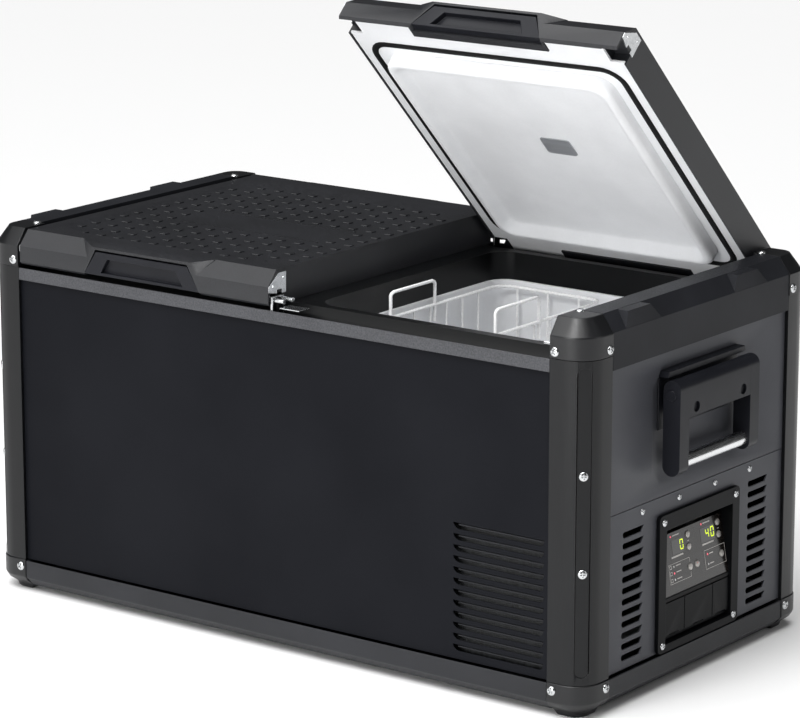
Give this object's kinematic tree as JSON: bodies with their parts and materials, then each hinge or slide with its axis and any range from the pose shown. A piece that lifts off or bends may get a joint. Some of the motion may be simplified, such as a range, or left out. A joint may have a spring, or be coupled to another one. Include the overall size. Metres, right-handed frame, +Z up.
{
  "type": "dual zone compressor cooler",
  "caption": "Dual-zone portable compressor cooler: two lids with latch handles, wire baskets, carry handles, vented end with a control panel.",
  "frame": {"origin": "on the floor, below the middle of the whole object's box at its rest pose", "axes": "+X along the length towards the end with the controls, +Y from the front to the back, +Z up"},
  "size_m": [0.915, 0.4785, 0.7503],
  "materials": {
    "powder_coat": "fine-textured black powder coat on sheet steel",
    "black_aluminium": "black satin coated aluminium extrusion",
    "black_plastic": "black moulded plastic, satin",
    "charcoal_plastic": "very dark grey moulded plastic, satin",
    "grey_panel": "charcoal grey moulded panel, satin",
    "white_liner": "white moulded plastic",
    "rubber": "soft black seal",
    "foam": null,
    "steel": "black painted pressed steel",
    "aluminium": "bare aluminium",
    "overlay": "smoked printed film on a plastic plate",
    "silver": "silver metallised plastic",
    "white_wire": "white plastic-coated steel wire"
  },
  "bodies": {
    "cabinet": {"base_pan": "powder_coat", "corner_post_front_left": "black_aluminium", "corner_post_front_right": "black_aluminium", "corner_post_rear_left": "black_aluminium", "corner_post_rear_right": "black_aluminium", "top_cap_front_left": "black_plastic", "top_cap_front_right": "black_plastic", "top_cap_rear_left": "black_plastic", "top_cap_rear_right": "black_plastic", "bottom_cap_front_left": "black_plastic", "bottom_cap_front_right": "black_plastic", "bottom_cap_rear_left": "black_plastic", "bottom_cap_rear_right": "black_plastic", "top_rail_front": "black_aluminium", "top_rail_rear": "black_aluminium", "end_rail_right": "charcoal_plastic", "end_rail_left": "charcoal_plastic", "front_panel": "powder_coat", "rear_panel": "powder_coat", "end_panel_right": "grey_panel", "service_cover": "grey_panel", "end_panel_left": "grey_panel", "top_frame": "black_plastic", "tub_left": "white_liner", "tub_right": "white_liner", "foam_block": "foam", "compressor": "steel", "condenser": "aluminium", "fan_shroud": "black_plastic", "controller": "aluminium", "control_frame": "black_plastic", "control_overlay": "overlay", "socket_block": "black_plastic", "handle_mount_right": "black_plastic", "handle_mount_left": "black_plastic", "basket_left": "white_wire"},
    "lid_left": {"lid_left_shell": "charcoal_plastic", "lid_left_liner": "white_liner", "lid_left_gasket": "rubber"},
    "lid_right": {"lid_right_shell": "charcoal_plastic", "lid_right_liner": "white_liner", "lid_right_gasket": "rubber"},
    "latch_left_front": {"latch_left_front": "black_plastic"},
    "latch_left_rear": {"latch_left_rear": "black_plastic"},
    "latch_right_front": {"latch_right_front": "black_plastic"},
    "latch_right_rear": {"latch_right_rear": "black_plastic"},
    "handle_right": {"carry_handle_right": "black_plastic"},
    "handle_left": {"carry_handle_left": "black_plastic"},
    "button_left_plus": {"button_left_plus": "silver"},
    "button_left_minus": {"button_left_minus": "silver"},
    "button_right_plus": {"button_right_plus": "silver"},
    "button_right_minus": {"button_right_minus": "silver"},
    "button_battery": {"button_battery": "silver"},
    "button_power": {"button_power": "silver"},
    "button_eco_max": {"button_eco_max": "silver"},
    "port_cover_dc": {"port_cover_dc": "black_plastic"},
    "port_cover_ac": {"port_cover_ac": "black_plastic"},
    "port_cover_usb": {"port_cover_usb": "black_plastic"},
    "fan": {"fan_rotor": "black_plastic"},
    "basket_right": {"basket_right": "white_wire"}
  },
  "joints": [
    {"name": "lid_left_hinge", "type": "hinge", "parent": "cabinet", "child": "lid_left", "pos_m": [-0.19225, 0.20524, 0.4165], "axis": [-1, 0, 0], "range_deg": [0, 52]},
    {"name": "lid_right_hinge", "type": "hinge", "parent": "cabinet", "child": "lid_right", "pos_m": [0.19225, 0.20524, 0.4165], "axis": [-1, 0, 0], "range_deg": [-45, 7]},
    {"name": "latch_left_front_lift", "type": "slide", "parent": "lid_left", "child": "latch_left_front", "axis": [0, 0, 1], "range_m": [0, 0.002], "stiffness_N_per_m": 2000},
    {"name": "latch_left_rear_lift", "type": "slide", "parent": "lid_left", "child": "latch_left_rear", "axis": [0, 0, 1], "range_m": [0, 0.002], "stiffness_N_per_m": 2000},
    {"name": "latch_right_front_lift", "type": "slide", "parent": "lid_right", "child": "latch_right_front", "axis": [0, 0.7071, 0.7071], "range_m": [0, 0.002], "stiffness_N_per_m": 2000},
    {"name": "latch_right_rear_lift", "type": "slide", "parent": "lid_right", "child": "latch_right_rear", "axis": [0, 0.7071, 0.7071], "range_m": [0, 0.002], "stiffness_N_per_m": 2000},
    {"name": "handle_right_hinge", "type": "hinge", "parent": "cabinet", "child": "handle_right", "pos_m": [0.4456, -0.00676, 0.343], "axis": [0, -1, 0], "range_deg": [0, 90]},
    {"name": "handle_left_hinge", "type": "hinge", "parent": "cabinet", "child": "handle_left", "pos_m": [-0.4456, -0.00676, 0.343], "axis": [0, 1, 0], "range_deg": [0, 90]},
    {"name": "button_left_plus_press", "type": "slide", "parent": "cabinet", "child": "button_left_plus", "axis": [-0.986, 0, -0.1667], "range_m": [0, 0.001], "stiffness_N_per_m": 500},
    {"name": "button_left_minus_press", "type": "slide", "parent": "cabinet", "child": "button_left_minus", "axis": [-0.986, 0, -0.1667], "range_m": [0, 0.001], "stiffness_N_per_m": 500},
    {"name": "button_right_plus_press", "type": "slide", "parent": "cabinet", "child": "button_right_plus", "axis": [-0.986, 0, -0.1667], "range_m": [0, 0.001], "stiffness_N_per_m": 500},
    {"name": "button_right_minus_press", "type": "slide", "parent": "cabinet", "child": "button_right_minus", "axis": [-0.986, 0, -0.1667], "range_m": [0, 0.001], "stiffness_N_per_m": 500},
    {"name": "button_battery_press", "type": "slide", "parent": "cabinet", "child": "button_battery", "axis": [-0.986, 0, -0.1667], "range_m": [0, 0.001], "stiffness_N_per_m": 500},
    {"name": "button_power_press", "type": "slide", "parent": "cabinet", "child": "button_power", "axis": [-0.986, 0, -0.1667], "range_m": [0, 0.001], "stiffness_N_per_m": 500},
    {"name": "button_eco_max_press", "type": "slide", "parent": "cabinet", "child": "button_eco_max", "axis": [-0.986, 0, -0.1667], "range_m": [0, 0.001], "stiffness_N_per_m": 500},
    {"name": "port_cover_dc_hinge", "type": "hinge", "parent": "cabinet", "child": "port_cover_dc", "pos_m": [0.43, -0.05381, 0.095], "axis": [0, -1, 0], "range_deg": [0, 110]},
    {"name": "port_cover_ac_hinge", "type": "hinge", "parent": "cabinet", "child": "port_cover_ac", "pos_m": [0.43, -0.00261, 0.095], "axis": [0, -1, 0], "range_deg": [0, 110]},
    {"name": "port_cover_usb_hinge", "type": "hinge", "parent": "cabinet", "child": "port_cover_usb", "pos_m": [0.43, 0.04444, 0.095], "axis": [0, -1, 0], "range_deg": [0, 110]},
    {"name": "fan_spin", "type": "hinge", "parent": "cabinet", "child": "fan", "pos_m": [0.315, -0.17876, 0.122], "axis": [0, 1, 0], "continuous": true},
    {"name": "basket_right_lift", "type": "slide", "parent": "cabinet", "child": "basket_right", "axis": [0, 0, 1], "range_m": [0, 0.045]}
  ]
}
